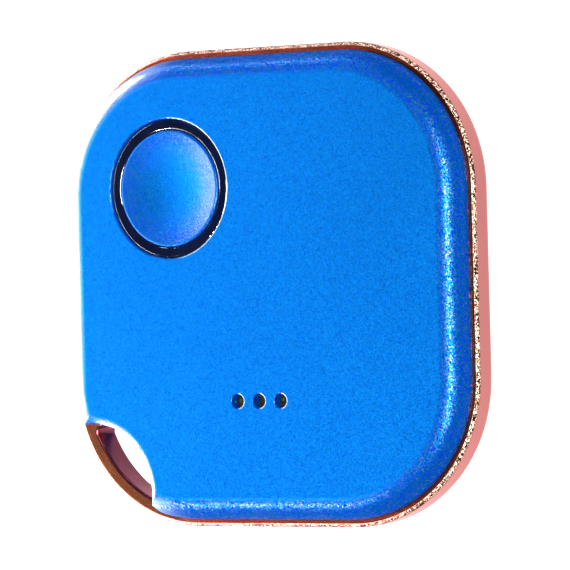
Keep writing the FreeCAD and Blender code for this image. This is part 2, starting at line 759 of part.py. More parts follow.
def chips():
    made = {}
    for name, solids in CHIPS.items():
        blocks = [
            box(f"{name}_{k}", str(length), str(wide), str(high), str(x), str(y), f"board_low - {high}")
            for k, (length, wide, high, x, y) in enumerate(solids)
        ]
        made[name] = group(name, blocks)
    return made


def build():
    """All the sub-parts: node name to document object."""
    nodes = {
        "front_cover": front_cover(),
        "frame": frame(),
        "rear_cover": rear_cover(),
        "button_cap": button_cap(),
        "light_ring": light_ring(),
        "snap_dome": snap_dome(),
        "dome_film": dome_film(),
        "status_lamps": status_lamps(),
        "circuit_board": circuit_board(),
        "battery_tray": battery_tray(),
        "positive_contact": positive_contact(),
        "negative_contact": negative_contact(),
        "tray_screws": tray_screws(),
        "cover_screw": cover_screw(),
    }
    nodes.update(buzzer())
    nodes.update(coin_cell())
    nodes.update(chips())
    doc.recompute()
    return nodes


def check_and_write(nodes):
    """Stops on a failed object or a bad shape; otherwise writes one STEP file a node."""
    failed = [o.Name for o in doc.Objects if {"Invalid", "Error"} & set(o.State)]
    if failed:
        raise SystemExit(f"failed objects: {failed}")
    for name, node in nodes.items():
        node.Label = name
        shape = node.Shape
        if shape.isNull() or not shape.isValid() or not shape.Solids:
            raise SystemExit(f"{name} has no valid solid")
    os.makedirs("parts", exist_ok=True)
    for name, node in nodes.items():
        node.Shape.exportStep(os.path.join("parts", name + ".step"))
        solids = node.Shape.Solids
        size = node.Shape.BoundBox
        print(f"{name:18s} {len(solids):2d} solids  {node.Shape.Volume:9.2f} mm3 "
              f" z {size.ZMin:.2f} to {size.ZMax:.2f}")


check_and_write(build())
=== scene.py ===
import json
import math

import bpy
from mathutils import Matrix, Vector


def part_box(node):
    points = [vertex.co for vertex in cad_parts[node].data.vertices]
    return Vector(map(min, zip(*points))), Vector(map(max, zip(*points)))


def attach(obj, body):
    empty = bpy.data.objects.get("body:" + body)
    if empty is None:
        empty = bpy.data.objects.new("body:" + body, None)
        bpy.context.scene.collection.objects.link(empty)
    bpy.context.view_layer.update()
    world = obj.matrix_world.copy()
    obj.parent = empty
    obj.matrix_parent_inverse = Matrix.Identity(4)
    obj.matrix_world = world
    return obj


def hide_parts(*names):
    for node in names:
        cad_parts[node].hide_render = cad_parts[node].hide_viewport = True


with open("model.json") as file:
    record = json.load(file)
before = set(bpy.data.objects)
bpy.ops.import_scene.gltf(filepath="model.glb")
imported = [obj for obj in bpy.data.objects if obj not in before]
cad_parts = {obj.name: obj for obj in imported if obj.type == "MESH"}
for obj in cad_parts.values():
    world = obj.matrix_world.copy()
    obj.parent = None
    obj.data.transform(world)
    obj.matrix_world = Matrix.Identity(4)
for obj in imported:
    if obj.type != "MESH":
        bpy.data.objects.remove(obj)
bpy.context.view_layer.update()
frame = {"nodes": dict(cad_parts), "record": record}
nodes = frame["nodes"]
mm = 0.001
print("frame loaded:", len(nodes), "nodes")


def put(tree, kind, inputs=None, **settings):
    # adds a node; an input is a number, a colour or another node's socket
    made = tree.nodes.new(kind)
    for name, value in settings.items():
        setattr(made, name, value)
    for name, value in (inputs or {}).items():
        if isinstance(value, bpy.types.NodeSocket):
            tree.links.new(value, made.inputs[name])
        else:
            made.inputs[name].default_value = value
    return made


def newGroup(name, inputs, outputs):
    # an empty shader group with its sockets; returns the tree, its input node and its output node
    tree = bpy.data.node_groups.new(name, "ShaderNodeTree")
    for label, value in inputs.items():
        socket = tree.interface.new_socket(label, in_out="INPUT", socket_type="NodeSocketFloat")
        socket.default_value = value
    for label, kind in outputs.items():
        tree.interface.new_socket(label, in_out="OUTPUT", socket_type="NodeSocket" + kind)
    return tree, put(tree, "NodeGroupInput"), put(tree, "NodeGroupOutput")


def useGroup(tree, group, **values):
    # places a group; values are given by socket name with its spaces left out
    made = put(tree, "ShaderNodeGroup", node_tree=group)
    for socket in made.inputs:
        value = values.get(socket.name.replace(" ", ""))
        if isinstance(value, bpy.types.NodeSocket):
            tree.links.new(value, socket)
        elif value is not None:
            socket.default_value = value
    return made


def calc(tree, operation, a, b=0.0, c=0.0):
    made = put(tree, "ShaderNodeMath", operation=operation)
    for socket, value in zip(made.inputs, (a, b, c)):
        if isinstance(value, bpy.types.NodeSocket):
            tree.links.new(value, socket)
        else:
            socket.default_value = value
    return made.outputs[0]


def ramp(tree, factor, stops):
    # a colour ramp from (place, colour) stops
    made = put(tree, "ShaderNodeValToRGB", {"Fac": factor})
    while len(made.color_ramp.elements) < len(stops):
        made.color_ramp.elements.new(0.5)
    for element, (place, colour) in zip(made.color_ramp.elements, stops):
        element.position = place
        element.color = colour
    return made.outputs["Color"]


def mix(tree, factor, a, b):
    made = put(tree, "ShaderNodeMix", data_type="RGBA")
    for socket, value in ((made.inputs[0], factor), (made.inputs[6], a), (made.inputs[7], b)):
        if isinstance(value, bpy.types.NodeSocket):
            tree.links.new(value, socket)
        else:
            socket.default_value = value
    return made.outputs[2]


def makeFlakes():
    # metal flakes in a lacquer or a sparkling cut: each cell has its own tilt, shade and brightness
    tree, given, result = newGroup(
        "sparkFlakes",
        {"Flakes Per Metre": 12000, "Tilt": 0.2, "Flake Share": 0.3, "Rarity": 3.0},
        {"Shade": "Float", "Flake": "Float", "Mirror": "Float", "Normal": "Vector"},
    )
    place = put(tree, "ShaderNodeTexCoord").outputs["Object"]
    cells = put(
        tree, "ShaderNodeTexVoronoi", {"Vector": place, "Scale": given.outputs["Flakes Per Metre"]}
    ).outputs["Color"]
    parts = put(tree, "ShaderNodeSeparateColor", {"Color": cells})
    centred = put(tree, "ShaderNodeVectorMath", {0: cells, 1: (0.5, 0.5, 0.5)}, operation="SUBTRACT")
    tilted = put(
        tree,
        "ShaderNodeVectorMath",
        {0: centred.outputs[0], "Scale": given.outputs["Tilt"]},
        operation="SCALE",
    )
    straight = put(tree, "ShaderNodeNewGeometry").outputs["Normal"]
    added = put(tree, "ShaderNodeVectorMath", {0: straight, 1: tilted.outputs[0]}, operation="ADD")
    unit = put(tree, "ShaderNodeVectorMath", {0: added.outputs[0]}, operation="NORMALIZE")
    threshold = calc(tree, "SUBTRACT", 1.0, given.outputs["Flake Share"])
    isFlake = calc(tree, "GREATER_THAN", parts.outputs["Green"], threshold)
    mirror = calc(tree, "POWER", parts.outputs["Blue"], given.outputs["Rarity"])
    tree.links.new(parts.outputs["Red"], result.inputs["Shade"])
    tree.links.new(isFlake, result.inputs["Flake"])
    tree.links.new(mirror, result.inputs["Mirror"])
    tree.links.new(unit.outputs[0], result.inputs["Normal"])
    return tree


def makeSlope():
    # how far a surface leans from flat: 0 on the flats, 1 from the full lean on
    tree, given, result = newGroup(
        "slopeMask", {"Start": 0.0006, "Full": 0.015}, {"Mask": "Float"}
    )
    straight = put(tree, "ShaderNodeNewGeometry").outputs["Normal"]
    parts = put(tree, "ShaderNodeSeparateXYZ", {"Vector": straight})
    lean = calc(tree, "SUBTRACT", 1.0, calc(tree, "ABSOLUTE", parts.outputs["Z"]))
    mask = put(
        tree,
        "ShaderNodeMapRange",
        {"Value": lean, "From Min": given.outputs["Start"], "From Max": given.outputs["Full"]},
        interpolation_type="SMOOTHSTEP",
    )
    tree.links.new(mask.outputs[0], result.inputs["Mask"])
    return tree


def makeHeight():
    # a band of heights above the tag's underside, with a soft lower and upper end
    tree, given, result = newGroup(
        "heightBand", {"Low": 0.0, "High": 0.006, "Softness": 0.0001}, {"Mask": "Float"}
    )
    place = put(tree, "ShaderNodeTexCoord").outputs["Object"]
    height = put(tree, "ShaderNodeSeparateXYZ", {"Vector": place}).outputs["Z"]
    soft = given.outputs["Softness"]
    above = calc(tree, "DIVIDE", calc(tree, "SUBTRACT", height, given.outputs["Low"]), soft)
    below = calc(tree, "DIVIDE", calc(tree, "SUBTRACT", given.outputs["High"], height), soft)
    mask = put(tree, "ShaderNodeClamp", {"Value": calc(tree, "MINIMUM", above, below)})
    tree.links.new(mask.outputs[0], result.inputs["Mask"])
    return tree


def makeGrain():
    # a fine uneven surface: broad patches and fine grit as one value round 0.5
    tree, given, result = newGroup(
        "surfaceGrain",
        {"Fine Per Metre": 9000, "Broad Per Metre": 300, "Fine Share": 0.6},
        {"Value": "Float"},
    )
    place = put(tree, "ShaderNodeTexCoord").outputs["Object"]
    fine = put(
        tree,
        "ShaderNodeTexNoise",
        {"Vector": place, "Scale": given.outputs["Fine Per Metre"], "Detail": 3.0},
    )
    broad = put(
        tree,
        "ShaderNodeTexNoise",
        {"Vector": place, "Scale": given.outputs["Broad Per Metre"], "Detail": 4.0},
    )
    both = put(tree, "ShaderNodeMix", {0: given.outputs["Fine Share"]}, data_type="FLOAT")
    tree.links.new(broad.outputs[0], both.inputs[2])
    tree.links.new(fine.outputs[0], both.inputs[3])
    tree.links.new(both.outputs[0], result.inputs["Value"])
    return tree


def makeBrushing():
    # fine scratches that run one way, as on drawn or rolled sheet
    tree, given, result = newGroup(
        "brushedLines", {"Lines Per Metre": 20000, "Stretch": 0.02}, {"Value": "Float"}
    )
    place = put(tree, "ShaderNodeTexCoord").outputs["Object"]
    parts = put(tree, "ShaderNodeSeparateXYZ", {"Vector": place})
    across = calc(tree, "MULTIPLY", parts.outputs["X"], given.outputs["Stretch"])
    bent = put(
        tree, "ShaderNodeCombineXYZ", {"X": across, "Y": parts.outputs["Y"], "Z": parts.outputs["Z"]}
    )
    lines = put(
        tree,
        "ShaderNodeTexNoise",
        {"Vector": bent.outputs[0], "Scale": given.outputs["Lines Per Metre"], "Detail": 2.0},
    )
    tree.links.new(lines.outputs[0], result.inputs["Value"])
    return tree


def makeNear():
    # 1 close to an upright line at Centre X, Centre Y, and 0 further away
    tree, given, result = newGroup(
        "nearLine", {"Centre X": 0.0, "Centre Y": 0.0, "Near": 0.001, "Far": 0.002}, {"Mask": "Float"}
    )
    place = put(tree, "ShaderNodeTexCoord").outputs["Object"]
    parts = put(tree, "ShaderNodeSeparateXYZ", {"Vector": place})
    dx = calc(tree, "SUBTRACT", parts.outputs["X"], given.outputs["Centre X"])
    dy = calc(tree, "SUBTRACT", parts.outputs["Y"], given.outputs["Centre Y"])
    away = calc(tree, "SQRT", calc(tree, "MULTIPLY_ADD", dx, dx, calc(tree, "MULTIPLY", dy, dy)))
    mask = put(
        tree,
        "ShaderNodeMapRange",
        {"Value": away, "From Min": given.outputs["Far"], "From Max": given.outputs["Near"]},
    )
    tree.links.new(mask.outputs[0], result.inputs["Mask"])
    return tree


def makeFacing():
    # how squarely a surface faces one side of the object
    tree, given, result = newGroup(
        "facingSide", {"X": -1.0, "Y": 0.0, "Z": 0.0, "Start": 0.1, "Full": 0.6}, {"Mask": "Float"}
    )
    side = put(
        tree,
        "ShaderNodeCombineXYZ",
        {"X": given.outputs["X"], "Y": given.outputs["Y"], "Z": given.outputs["Z"]},
    ).outputs[0]
    straight = put(tree, "ShaderNodeNewGeometry").outputs["Normal"]
    squarely = put(tree, "ShaderNodeVectorMath", {0: straight, 1: side}, operation="DOT_PRODUCT")
    mask = put(
        tree,
        "ShaderNodeMapRange",
        {
            "Value": squarely.outputs["Value"],
            "From Min": given.outputs["Start"],
            "From Max": given.outputs["Full"],
        },
    )
    tree.links.new(mask.outputs[0], result.inputs["Mask"])
    return tree


flakes = makeFlakes()
near = makeNear()
facing = makeFacing()
slope = makeSlope()
heightBand = makeHeight()
grain = makeGrain()
brushing = makeBrushing()


def newMaterial(name, **plain):
    # a material with its Principled shader; plain values go on the shader's own sockets
    material = bpy.data.materials.new(name)
    material.use_nodes = True
    tree = material.node_tree
    shader = tree.nodes["Principled BSDF"]
    for label, value in plain.items():
        shader.inputs[label].default_value = value
    return material, tree, shader


def bumpFrom(tree, shader, height, strength, distance):
    bump = put(tree, "ShaderNodeBump", {"Height": height, "Strength": strength, "Distance": distance})
    tree.links.new(bump.outputs[0], shader.inputs["Normal"])


lacquer = {
    "dark": (0.0, 0.014, 0.09, 1),
    "light": (0.0022, 0.112, 0.40, 1),
    "deep": (0.0, 0.042, 0.64, 1),  # between the flakes on the roundings
    "teal": (0.0, 0.09, 0.36, 1),  # the flakes on the roundings
    "metal": 0.85,
    "edgeMetal": 0.13,
    "edgeTint": (0.3, 0.75, 1.0, 1),
    "roughness": 0.36,
    "specular": 0.0,
    "glitter": 0.75,
    "glitterRoughness": 0.36,
    "flakes": 12500,
    "tilt": 0.2,
    "share": 0.7,
    "rarity": 7.0,
    "rubbedSide": (-1.0, 0.0, 0.0),  # the side that faces the left lamps: roundings that face it get a heavier coat, and its top rims at the sound holes and the button opening get a painted highlight
    "rubStart": 0.02,
    "rubFull": 0.22,
    "rub": 0.6,
    "soundRims": (0.0, -0.0085, 0.0027, 0.0032),  # centre, then where the painted highlight on the rims starts to end
    "openingRim": (-0.0077, 0.0076, 0.0055, 0.0057),
    # the pale colour of the painted highlight on the lit rims
    "rimPale": (0.72, 0.88, 1.0, 1),
    "rimLow": 0.00592,
    "rimHigh": 0.0062,
}
buttonLacquer = dict(lacquer, glitter=1.0, rarity=3.5, glitterRoughness=0.27)


def makeLacquer(name, look):
    material, tree, shader = newMaterial(
        name,
        **{
            "Coat Roughness": look["glitterRoughness"],
            "Specular IOR Level": look["specular"],
            "Specular Tint": look["edgeTint"],
        },
    )
    flake = useGroup(
        tree,
        flakes,
        FlakesPerMetre=look["flakes"],
        Tilt=look["tilt"],
        FlakeShare=look["share"],
        Rarity=look["rarity"],
    )
    rounding = useGroup(tree, slope).outputs[0]
    flat = mix(tree, flake.outputs["Shade"], look["dark"], look["light"])
    bent = mix(tree, flake.outputs["Flake"], look["deep"], look["teal"])
    side = useGroup(
        tree, facing, **dict(zip("XYZ", look["rubbedSide"])), Start=look["rubStart"], Full=look["rubFull"]
    )
    rims = [
        useGroup(tree, near, **dict(zip(("CentreX", "CentreY", "Near", "Far"), look[key]))).outputs[0]
        for key in ("soundRims", "openingRim")
    ]
    top = useGroup(tree, heightBand, Low=look["rimLow"], High=look["rimHigh"], Softness=0.00001).outputs[0]
    # painted highlight: the top rims near the sound holes and the button opening that face the lit side are
    # coloured pale
    pale = calc(tree, "MULTIPLY", calc(tree, "MAXIMUM", *rims), calc(tree, "MULTIPLY", top, side.outputs[0]))
    pale = calc(tree, "MULTIPLY", pale, rounding)
    colour = mix(tree, pale, mix(tree, rounding, flat, bent), look["rimPale"])
    tree.links.new(colour, shader.inputs["Base Color"])
    edgeMetal = calc(tree, "MULTIPLY", flake.outputs["Flake"], look["edgeMetal"])
    metal = put(
        tree, "ShaderNodeMix", {0: rounding, 2: look["metal"], 3: edgeMetal}, data_type="FLOAT"
    ).outputs[0]
    tree.links.new(metal, shader.inputs["Metallic"])
    patches = useGroup(tree, grain, FinePerMetre=2500, BroadPerMetre=120, FineShare=0.3)
    rough = calc(tree, "MULTIPLY_ADD", patches.outputs[0], 0.06, look["roughness"] - 0.03)
    tree.links.new(rough, shader.inputs["Roughness"])
    tree.links.new(flake.outputs["Normal"], shader.inputs["Normal"])
    glitter = calc(tree, "MULTIPLY", flake.outputs["Mirror"], look["glitter"])
    # a heavier coat on the roundings that face the left lamps
    rubbed = calc(tree, "MULTIPLY", side.outputs[0], look["rub"])
    coat = calc(tree, "MULTIPLY", calc(tree, "MAXIMUM", glitter, rubbed), rounding)
    tree.links.new(coat, shader.inputs["Coat Weight"])
    return material


frameLook = {
    "dark": (0.365, 0.115, 0.108, 1),
    "light": (0.453, 0.157, 0.15, 1),
    "edgeTint": (1.0, 0.82, 0.8, 1),
    "flatDark": (0.21, 0.038, 0.02, 1),  # the flat ledge round the front cover, given a darker, browner copy of the metal as painted shade
    "flatLight": (0.29, 0.056, 0.03, 1),
    "keyDark": (0.1, 0.029, 0.013, 1),  # the flat top of the key bar, a still darker copy as painted shade
    "keyLight": (0.14, 0.04, 0.018, 1),
    "slotDark": (0.07, 0.008, 0.018, 1),  # the inner side of the key bar, dark purple as painted shade and a painted reflection of the blue cover
    "slotLight": (0.24, 0.05, 0.085, 1),
    "roughness": 0.22,
    "rimLow": 0.00394,
    "rimHigh": 0.0043,
    "rimFlakes": 12500,
    "rimTilt": 0.25,
    "rimRoughness": 0.72,
    "keyCentre": -0.01555,  # the key notch's centre, the same in X and Y
    "keyNear": 0.0068,
    "keyFar": 0.0076,
}


def makeFrameMetal(look):
    # drawn metal; its upper rim is cut with fine facets that sparkle, partly through cream and black spots
    # painted into its colour as glints; the flat ledge inside it and the key bar's top are darker copies of
    # the metal as painted shade, and the bar's inner side is painted with shade and a purple reflection
    material, tree, shader = newMaterial("frameMetal", **{"Metallic": 1.0, "Specular Tint": look["edgeTint"]})
    grit = useGroup(tree, grain, FinePerMetre=7000, BroadPerMetre=400, FineShare=0.7).outputs[0]
    wall = mix(tree, grit, look["dark"], look["light"])
    # painted shade: flat faces get a darker, browner copy of the metal
    ledge = mix(tree, grit, look["flatDark"], look["flatLight"])
    leaning = useGroup(tree, slope, Start=0.01, Full=0.06).outputs[0]
    atKey = useGroup(
        tree,
        near,
        CentreX=look["keyCentre"],
        CentreY=look["keyCentre"],
        Near=look["keyNear"],
        Far=look["keyFar"],
    ).outputs[0]
    # painted shade: the key bar's flat top darker still
    ledge = mix(tree, atKey, ledge, mix(tree, grit, look["keyDark"], look["keyLight"]))
    # painted shade and painted reflection of the blue cover on the key bar's inner side
    inner = useGroup(tree, facing, X=0.707, Y=0.707, Start=-0.3, Full=0.1).outputs[0]
    shadedSlotWall = mix(tree, grit, look["slotDark"], look["slotLight"])
    wall = mix(tree, calc(tree, "MULTIPLY", inner, atKey), wall, shadedSlotWall)
    spark = useGroup(tree, flakes, FlakesPerMetre=look["rimFlakes"], Tilt=look["rimTilt"])
    # the rim's facets: tilted normals, plus painted glints as cream and black spots in the colour
    facets = ramp(
        tree,
        spark.outputs["Shade"],
        [
            (0.0, (0.0, 0.0, 0.0, 1)),
            (0.5, (0.01, 0.004, 0.002, 1)),
            (0.6, (0.18, 0.075, 0.045, 1)),
            (1.0, (0.66, 0.45, 0.45, 1)),
        ],
    )
    rim = useGroup(tree, heightBand, Low=look["rimLow"], High=look["rimHigh"], Softness=0.00005).outputs[0]
    rim = calc(tree, "MULTIPLY", rim, leaning)
    rim = calc(tree, "MULTIPLY", rim, calc(tree, "SUBTRACT", 1.0, atKey))
    colour = mix(tree, rim, mix(tree, leaning, ledge, wall), facets)
    tree.links.new(colour, shader.inputs["Base Color"])
    rough = calc(tree, "MULTIPLY_ADD", grit, 0.16, look["roughness"] - 0.08)
    rough = calc(tree, "MULTIPLY_ADD", rim, look["rimRoughness"] - look["roughness"], rough)
    tree.links.new(rough, shader.inputs["Roughness"])
    bump = put(tree, "ShaderNodeBump", {"Height": grit, "Strength": 0.5, "Distance": 0.00002})
    cut = put(tree, "ShaderNodeMix", data_type="VECTOR")
    tree.links.new(rim, cut.inputs[0])
    tree.links.new(bump.outputs[0], cut.inputs[4])
    tree.links.new(spark.outputs["Normal"], cut.inputs[5])
    tree.links.new(cut.outputs[1], shader.inputs["Normal"])
    return material


def makeRing(look):
    material, tree, shader = newMaterial(
        "ringTint", **{"Coat Weight": 1.0, "Coat Roughness": 0.03, "Specular IOR Level": 0.6}
    )
    patches = useGroup(tree, grain, FinePerMetre=5000, BroadPerMetre=500, FineShare=0.3)
    tree.links.new(mix(tree, patches.outputs[0], look["dark"], look["light"]), shader.inputs["Base Color"])
    rough = calc(tree, "MULTIPLY_ADD", patches.outputs[0], 0.1, 0.05)
    tree.links.new(rough, shader.inputs["Roughness"])
    return material


ringLook = {"dark": (0.0, 0.001, 0.012, 1), "light": (0.0, 0.004, 0.035, 1)}


def makePlain(name, look):
    # moulded plastic, resin, ceramic or foam: a grain in colour, gloss and height
    material, tree, shader = newMaterial(name, **{"Specular IOR Level": look.get("specular", 0.5)})
    value = useGroup(
        tree, grain, FinePerMetre=look["fine"], BroadPerMetre=look["broad"], FineShare=0.6
    ).outputs[0]
    tree.links.new(mix(tree, value, look["dark"], look["light"]), shader.inputs["Base Color"])
    rough = calc(tree, "MULTIPLY_ADD", value, 0.2, look["roughness"] - 0.1)
    tree.links.new(rough, shader.inputs["Roughness"])
    bumpFrom(tree, shader, value, look["bump"], 0.00002)
    return material


def makeSheetMetal(name, look):
    material, tree, shader = newMaterial(name, Metallic=1.0)
    lines = useGroup(tree, brushing, LinesPerMetre=look["lines"], Stretch=look["stretch"]).outputs[0]
    tree.links.new(mix(tree, lines, look["dark"], look["light"]), shader.inputs["Base Color"])
    rough = calc(tree, "MULTIPLY_ADD", lines, 0.25, look["roughness"] - 0.12)
    tree.links.new(rough, shader.inputs["Roughness"])
    bumpFrom(tree, shader, lines, 0.2, 0.00001)
    return material


plainLooks = {
    "film_amber": {
        "dark": (0.5, 0.2, 0.02, 1),
        "light": (0.7, 0.33, 0.05, 1),
        "fine": 3000,
        "broad": 200,
        "roughness": 0.25,
        "bump": 0.1,
    },
    "lamp_resin": {
        "dark": (0.7, 0.68, 0.4, 1),
        "light": (0.9, 0.88, 0.62, 1),
        "fine": 5000,
        "broad": 900,
        "roughness": 0.3,
        "bump": 0.1,
    },
    "board_mask": {
        "dark": (0.002, 0.02, 0.012, 1),
        "light": (0.004, 0.05, 0.025, 1),
        "fine": 6000,
        "broad": 500,
        "roughness": 0.3,
        "bump": 0.2,
    },
    "tray_plastic": {
        "dark": (0.008, 0.008, 0.009, 1),
        "light": (0.02, 0.02, 0.022, 1),
        "fine": 9000,
        "broad": 300,
        "roughness": 0.5,
        "bump": 0.4,
    },
    "gasket_foam": {
        "dark": (0.006, 0.006, 0.006, 1),
        "light": (0.02, 0.02, 0.02, 1),
        "fine": 12000,
        "broad": 900,
        "roughness": 0.85,
        "bump": 0.9,
    },
    "disc_ceramic": {
        "dark": (0.6, 0.58, 0.52, 1),
        "light": (0.78, 0.77, 0.72, 1),
        "fine": 6000,
        "broad": 500,
        "roughness": 0.45,
        "bump": 0.2,
    },
    "mesh_cloth": {
        "dark": (0.0, 0.0, 0.002, 1),
        "light": (0.002, 0.003, 0.02, 1),
        "fine": 15000,
        "broad": 900,
        "roughness": 0.9,
        "bump": 0.6,
        "specular": 0.05,
    },
    "cell_seal": {
        "dark": (0.5, 0.5, 0.48, 1),
        "light": (0.65, 0.65, 0.62, 1),
        "fine": 6000,
        "broad": 400,
        "roughness": 0.5,
        "bump": 0.2,
    },
    "cathode_pellet": {
        "dark": (0.01, 0.01, 0.01, 1),
        "light": (0.04, 0.04, 0.04, 1),
        "fine": 16000,
        "broad": 900,
        "roughness": 0.8,
        "bump": 0.8,
    },
    "separator_felt": {
        "dark": (0.7, 0.7, 0.68, 1),
        "light": (0.9, 0.9, 0.88, 1),
        "fine": 16000,
        "broad": 900,
        "roughness": 0.9,
        "bump": 0.7,
    },
    "chip_epoxy": {
        "dark": (0.008, 0.008, 0.009, 1),
        "light": (0.022, 0.022, 0.024, 1),
        "fine": 14000,
        "broad": 600,
        "roughness": 0.45,
        "bump": 0.4,
    },
    "antenna_ceramic": {
        "dark": (0.6, 0.62, 0.6, 1),
        "light": (0.76, 0.78, 0.76, 1),
        "fine": 6000,
        "broad": 500,
        "roughness": 0.35,
        "bump": 0.2,
    },
    "capacitor_ceramic": {
        "dark": (0.2, 0.1, 0.05, 1),
        "light": (0.36, 0.2, 0.1, 1),
        "fine": 9000,
        "broad": 900,
        "roughness": 0.4,
        "bump": 0.2,
    },
    "resistor_ceramic": {
        "dark": (0.006, 0.006, 0.007, 1),
        "light": (0.02, 0.02, 0.022, 1),
        "fine": 9000,
        "broad": 900,
        "roughness": 0.25,
        "bump": 0.2,
    },
}
metalLooks = {
    "dome_steel": {
        "dark": (0.5, 0.49, 0.46, 1),
        "light": (0.7, 0.69, 0.65, 1),
        "lines": 30000,
        "stretch": 0.1,
        "roughness": 0.28,
    },
    "contact_plating": {
        "dark": (0.5, 0.46, 0.36, 1),
        "light": (0.72, 0.68, 0.56, 1),
        "lines": 30000,
        "stretch": 0.1,
        "roughness": 0.3,
    },
    "screw_steel": {
        "dark": (0.3, 0.3, 0.32, 1),
        "light": (0.5, 0.5, 0.52, 1),
        "lines": 30000,
        "stretch": 0.3,
        "roughness": 0.3,
    },
    "lock_screw_steel": {
        "dark": (0.4, 0.4, 0.42, 1),
        "light": (0.62, 0.62, 0.64, 1),
        "lines": 30000,
        "stretch": 0.3,
        "roughness": 0.22,
    },
    "disc_brass": {
        "dark": (0.5, 0.3, 0.08, 1),
        "light": (0.7, 0.46, 0.16, 1),
        "lines": 30000,
        "stretch": 0.05,
        "roughness": 0.3,
    },
    "solder": {
        "dark": (0.5, 0.5, 0.48, 1),
        "light": (0.7, 0.7, 0.68, 1),
        "lines": 20000,
        "stretch": 0.8,
        "roughness": 0.25,
    },
    "cell_steel": {
        "dark": (0.5, 0.5, 0.5, 1),
        "light": (0.68, 0.68, 0.67, 1),
        "lines": 26000,
        "stretch": 0.03,
        "roughness": 0.26,
    },
    "anode_lithium": {
        "dark": (0.4, 0.41, 0.42, 1),
        "light": (0.55, 0.56, 0.57, 1),
        "lines": 9000,
        "stretch": 0.6,
        "roughness": 0.5,
    },
    "crystal_lid": {
        "dark": (0.45, 0.44, 0.41, 1),
        "light": (0.62, 0.61, 0.57, 1),
        "lines": 26000,
        "stretch": 0.05,
        "roughness": 0.3,
    },
}

materials = {
    "front_lacquer": makeLacquer("frontLacquer", lacquer),
    "rear_lacquer": makeLacquer("rearLacquer", lacquer),
    "button_lacquer": makeLacquer("buttonLacquer", buttonLacquer),
    "frame_metal": makeFrameMetal(frameLook),
    "ring_tint": makeRing(ringLook),
}
for slotName, look in plainLooks.items():
    materials[slotName] = makePlain(slotName, look)
for slotName, look in metalLooks.items():
    materials[slotName] = makeSheetMetal(slotName, look)

for part in frame["record"]["subparts"]:
    for slot in nodes[part["node"]].material_slots:
        slot.material = materials[part["material_slot"]]
print("materials made:", len(materials))


def only(piece):
    if bpy.context.mode != "OBJECT":
        bpy.ops.object.mode_set(mode="OBJECT")
    bpy.ops.object.select_all(action="DESELECT")
    piece.select_set(True)
    bpy.context.view_layer.objects.active = piece


def pick(piece, kind, wanted):
    # edit mode, with only the faces or corners selected that the test wants
    only(piece)
    bpy.ops.object.mode_set(mode="EDIT")
    bpy.ops.mesh.select_mode(type=kind)
    bpy.ops.mesh.select_all(action="DESELECT")
    bpy.ops.object.mode_set(mode="OBJECT")
    parts = piece.data.polygons if kind == "FACE" else piece.data.vertices
    for part in parts:
        part.select = wanted(part)
    bpy.ops.object.mode_set(mode="EDIT")


def applied(piece, kind, **settings):
    only(piece)
    bpy.ops.object.modifier_add(type=kind)
    modifier = piece.modifiers[-1]
    for key, value in settings.items():
        setattr(modifier, key, value)
    bpy.ops.object.modifier_apply(modifier=modifier.name)


def settle(piece, angle=35):
    # place, turn and size go into the mesh, faces point outwards, and only sharp corners stay sharp
    only(piece)
    bpy.ops.object.transform_apply(location=True, rotation=True, scale=True)
    bpy.ops.object.mode_set(mode="EDIT")
    bpy.ops.mesh.select_all(action="SELECT")
    bpy.ops.mesh.normals_make_consistent(inside=False)
    bpy.ops.object.mode_set(mode="OBJECT")
    bpy.ops.object.shade_smooth_by_angle(angle=math.radians(angle))


def dress(piece, name, slotName, body, node):
    piece.name = name
    piece.data.name = name
    piece.data.materials.clear()
    piece.data.materials.append(materials[slotName])
    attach(piece, body)
    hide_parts(node)


clothLook = {"pitch": 0.085, "wire": 0.062, "weave": 0.007}  # mm


def makeSoundCloth(look):
    # black wire cloth behind the sound holes: each crossing stands over or under the next
    low, high = (Vector(corner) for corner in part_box("sound_mesh"))
    middle = (low + high) / 2
    size = high - low
    pitch, wire, weave = (look[key] * mm for key in ("pitch", "wire", "weave"))
    columns = round(size.x / pitch)
    rows = round(size.y / pitch)
    bpy.ops.object.select_all(action="DESELECT")
    bpy.ops.mesh.primitive_grid_add(x_subdivisions=columns, y_subdivisions=rows, size=1.0, location=middle)
    cloth = bpy.context.object
    cloth.scale = (size.x - wire, size.y - wire, 1.0)
    bpy.ops.object.transform_apply(location=True, rotation=False, scale=True)
    across, along = (size.x - wire) / columns, (size.y - wire) / rows
    corner = middle - (size - Vector((wire, wire, 0))) / 2

    def over(vertex):
        step = round((vertex.co.x - corner.x) / across) + round((vertex.co.y - corner.y) / along)
        return step % 2 == 0

    pick(cloth, "VERT", over)
    bpy.ops.transform.translate(value=(0, 0, 2 * weave))
    bpy.ops.mesh.select_all(action="SELECT")
    bpy.ops.transform.translate(value=(0, 0, -weave))
    bpy.ops.object.mode_set(mode="OBJECT")
    applied(cloth, "WIREFRAME", thickness=wire, use_even_offset=False, use_boundary=True)
    settle(cloth, 60)
    dress(cloth, "soundCloth", "mesh_cloth", "casing", "sound_mesh")


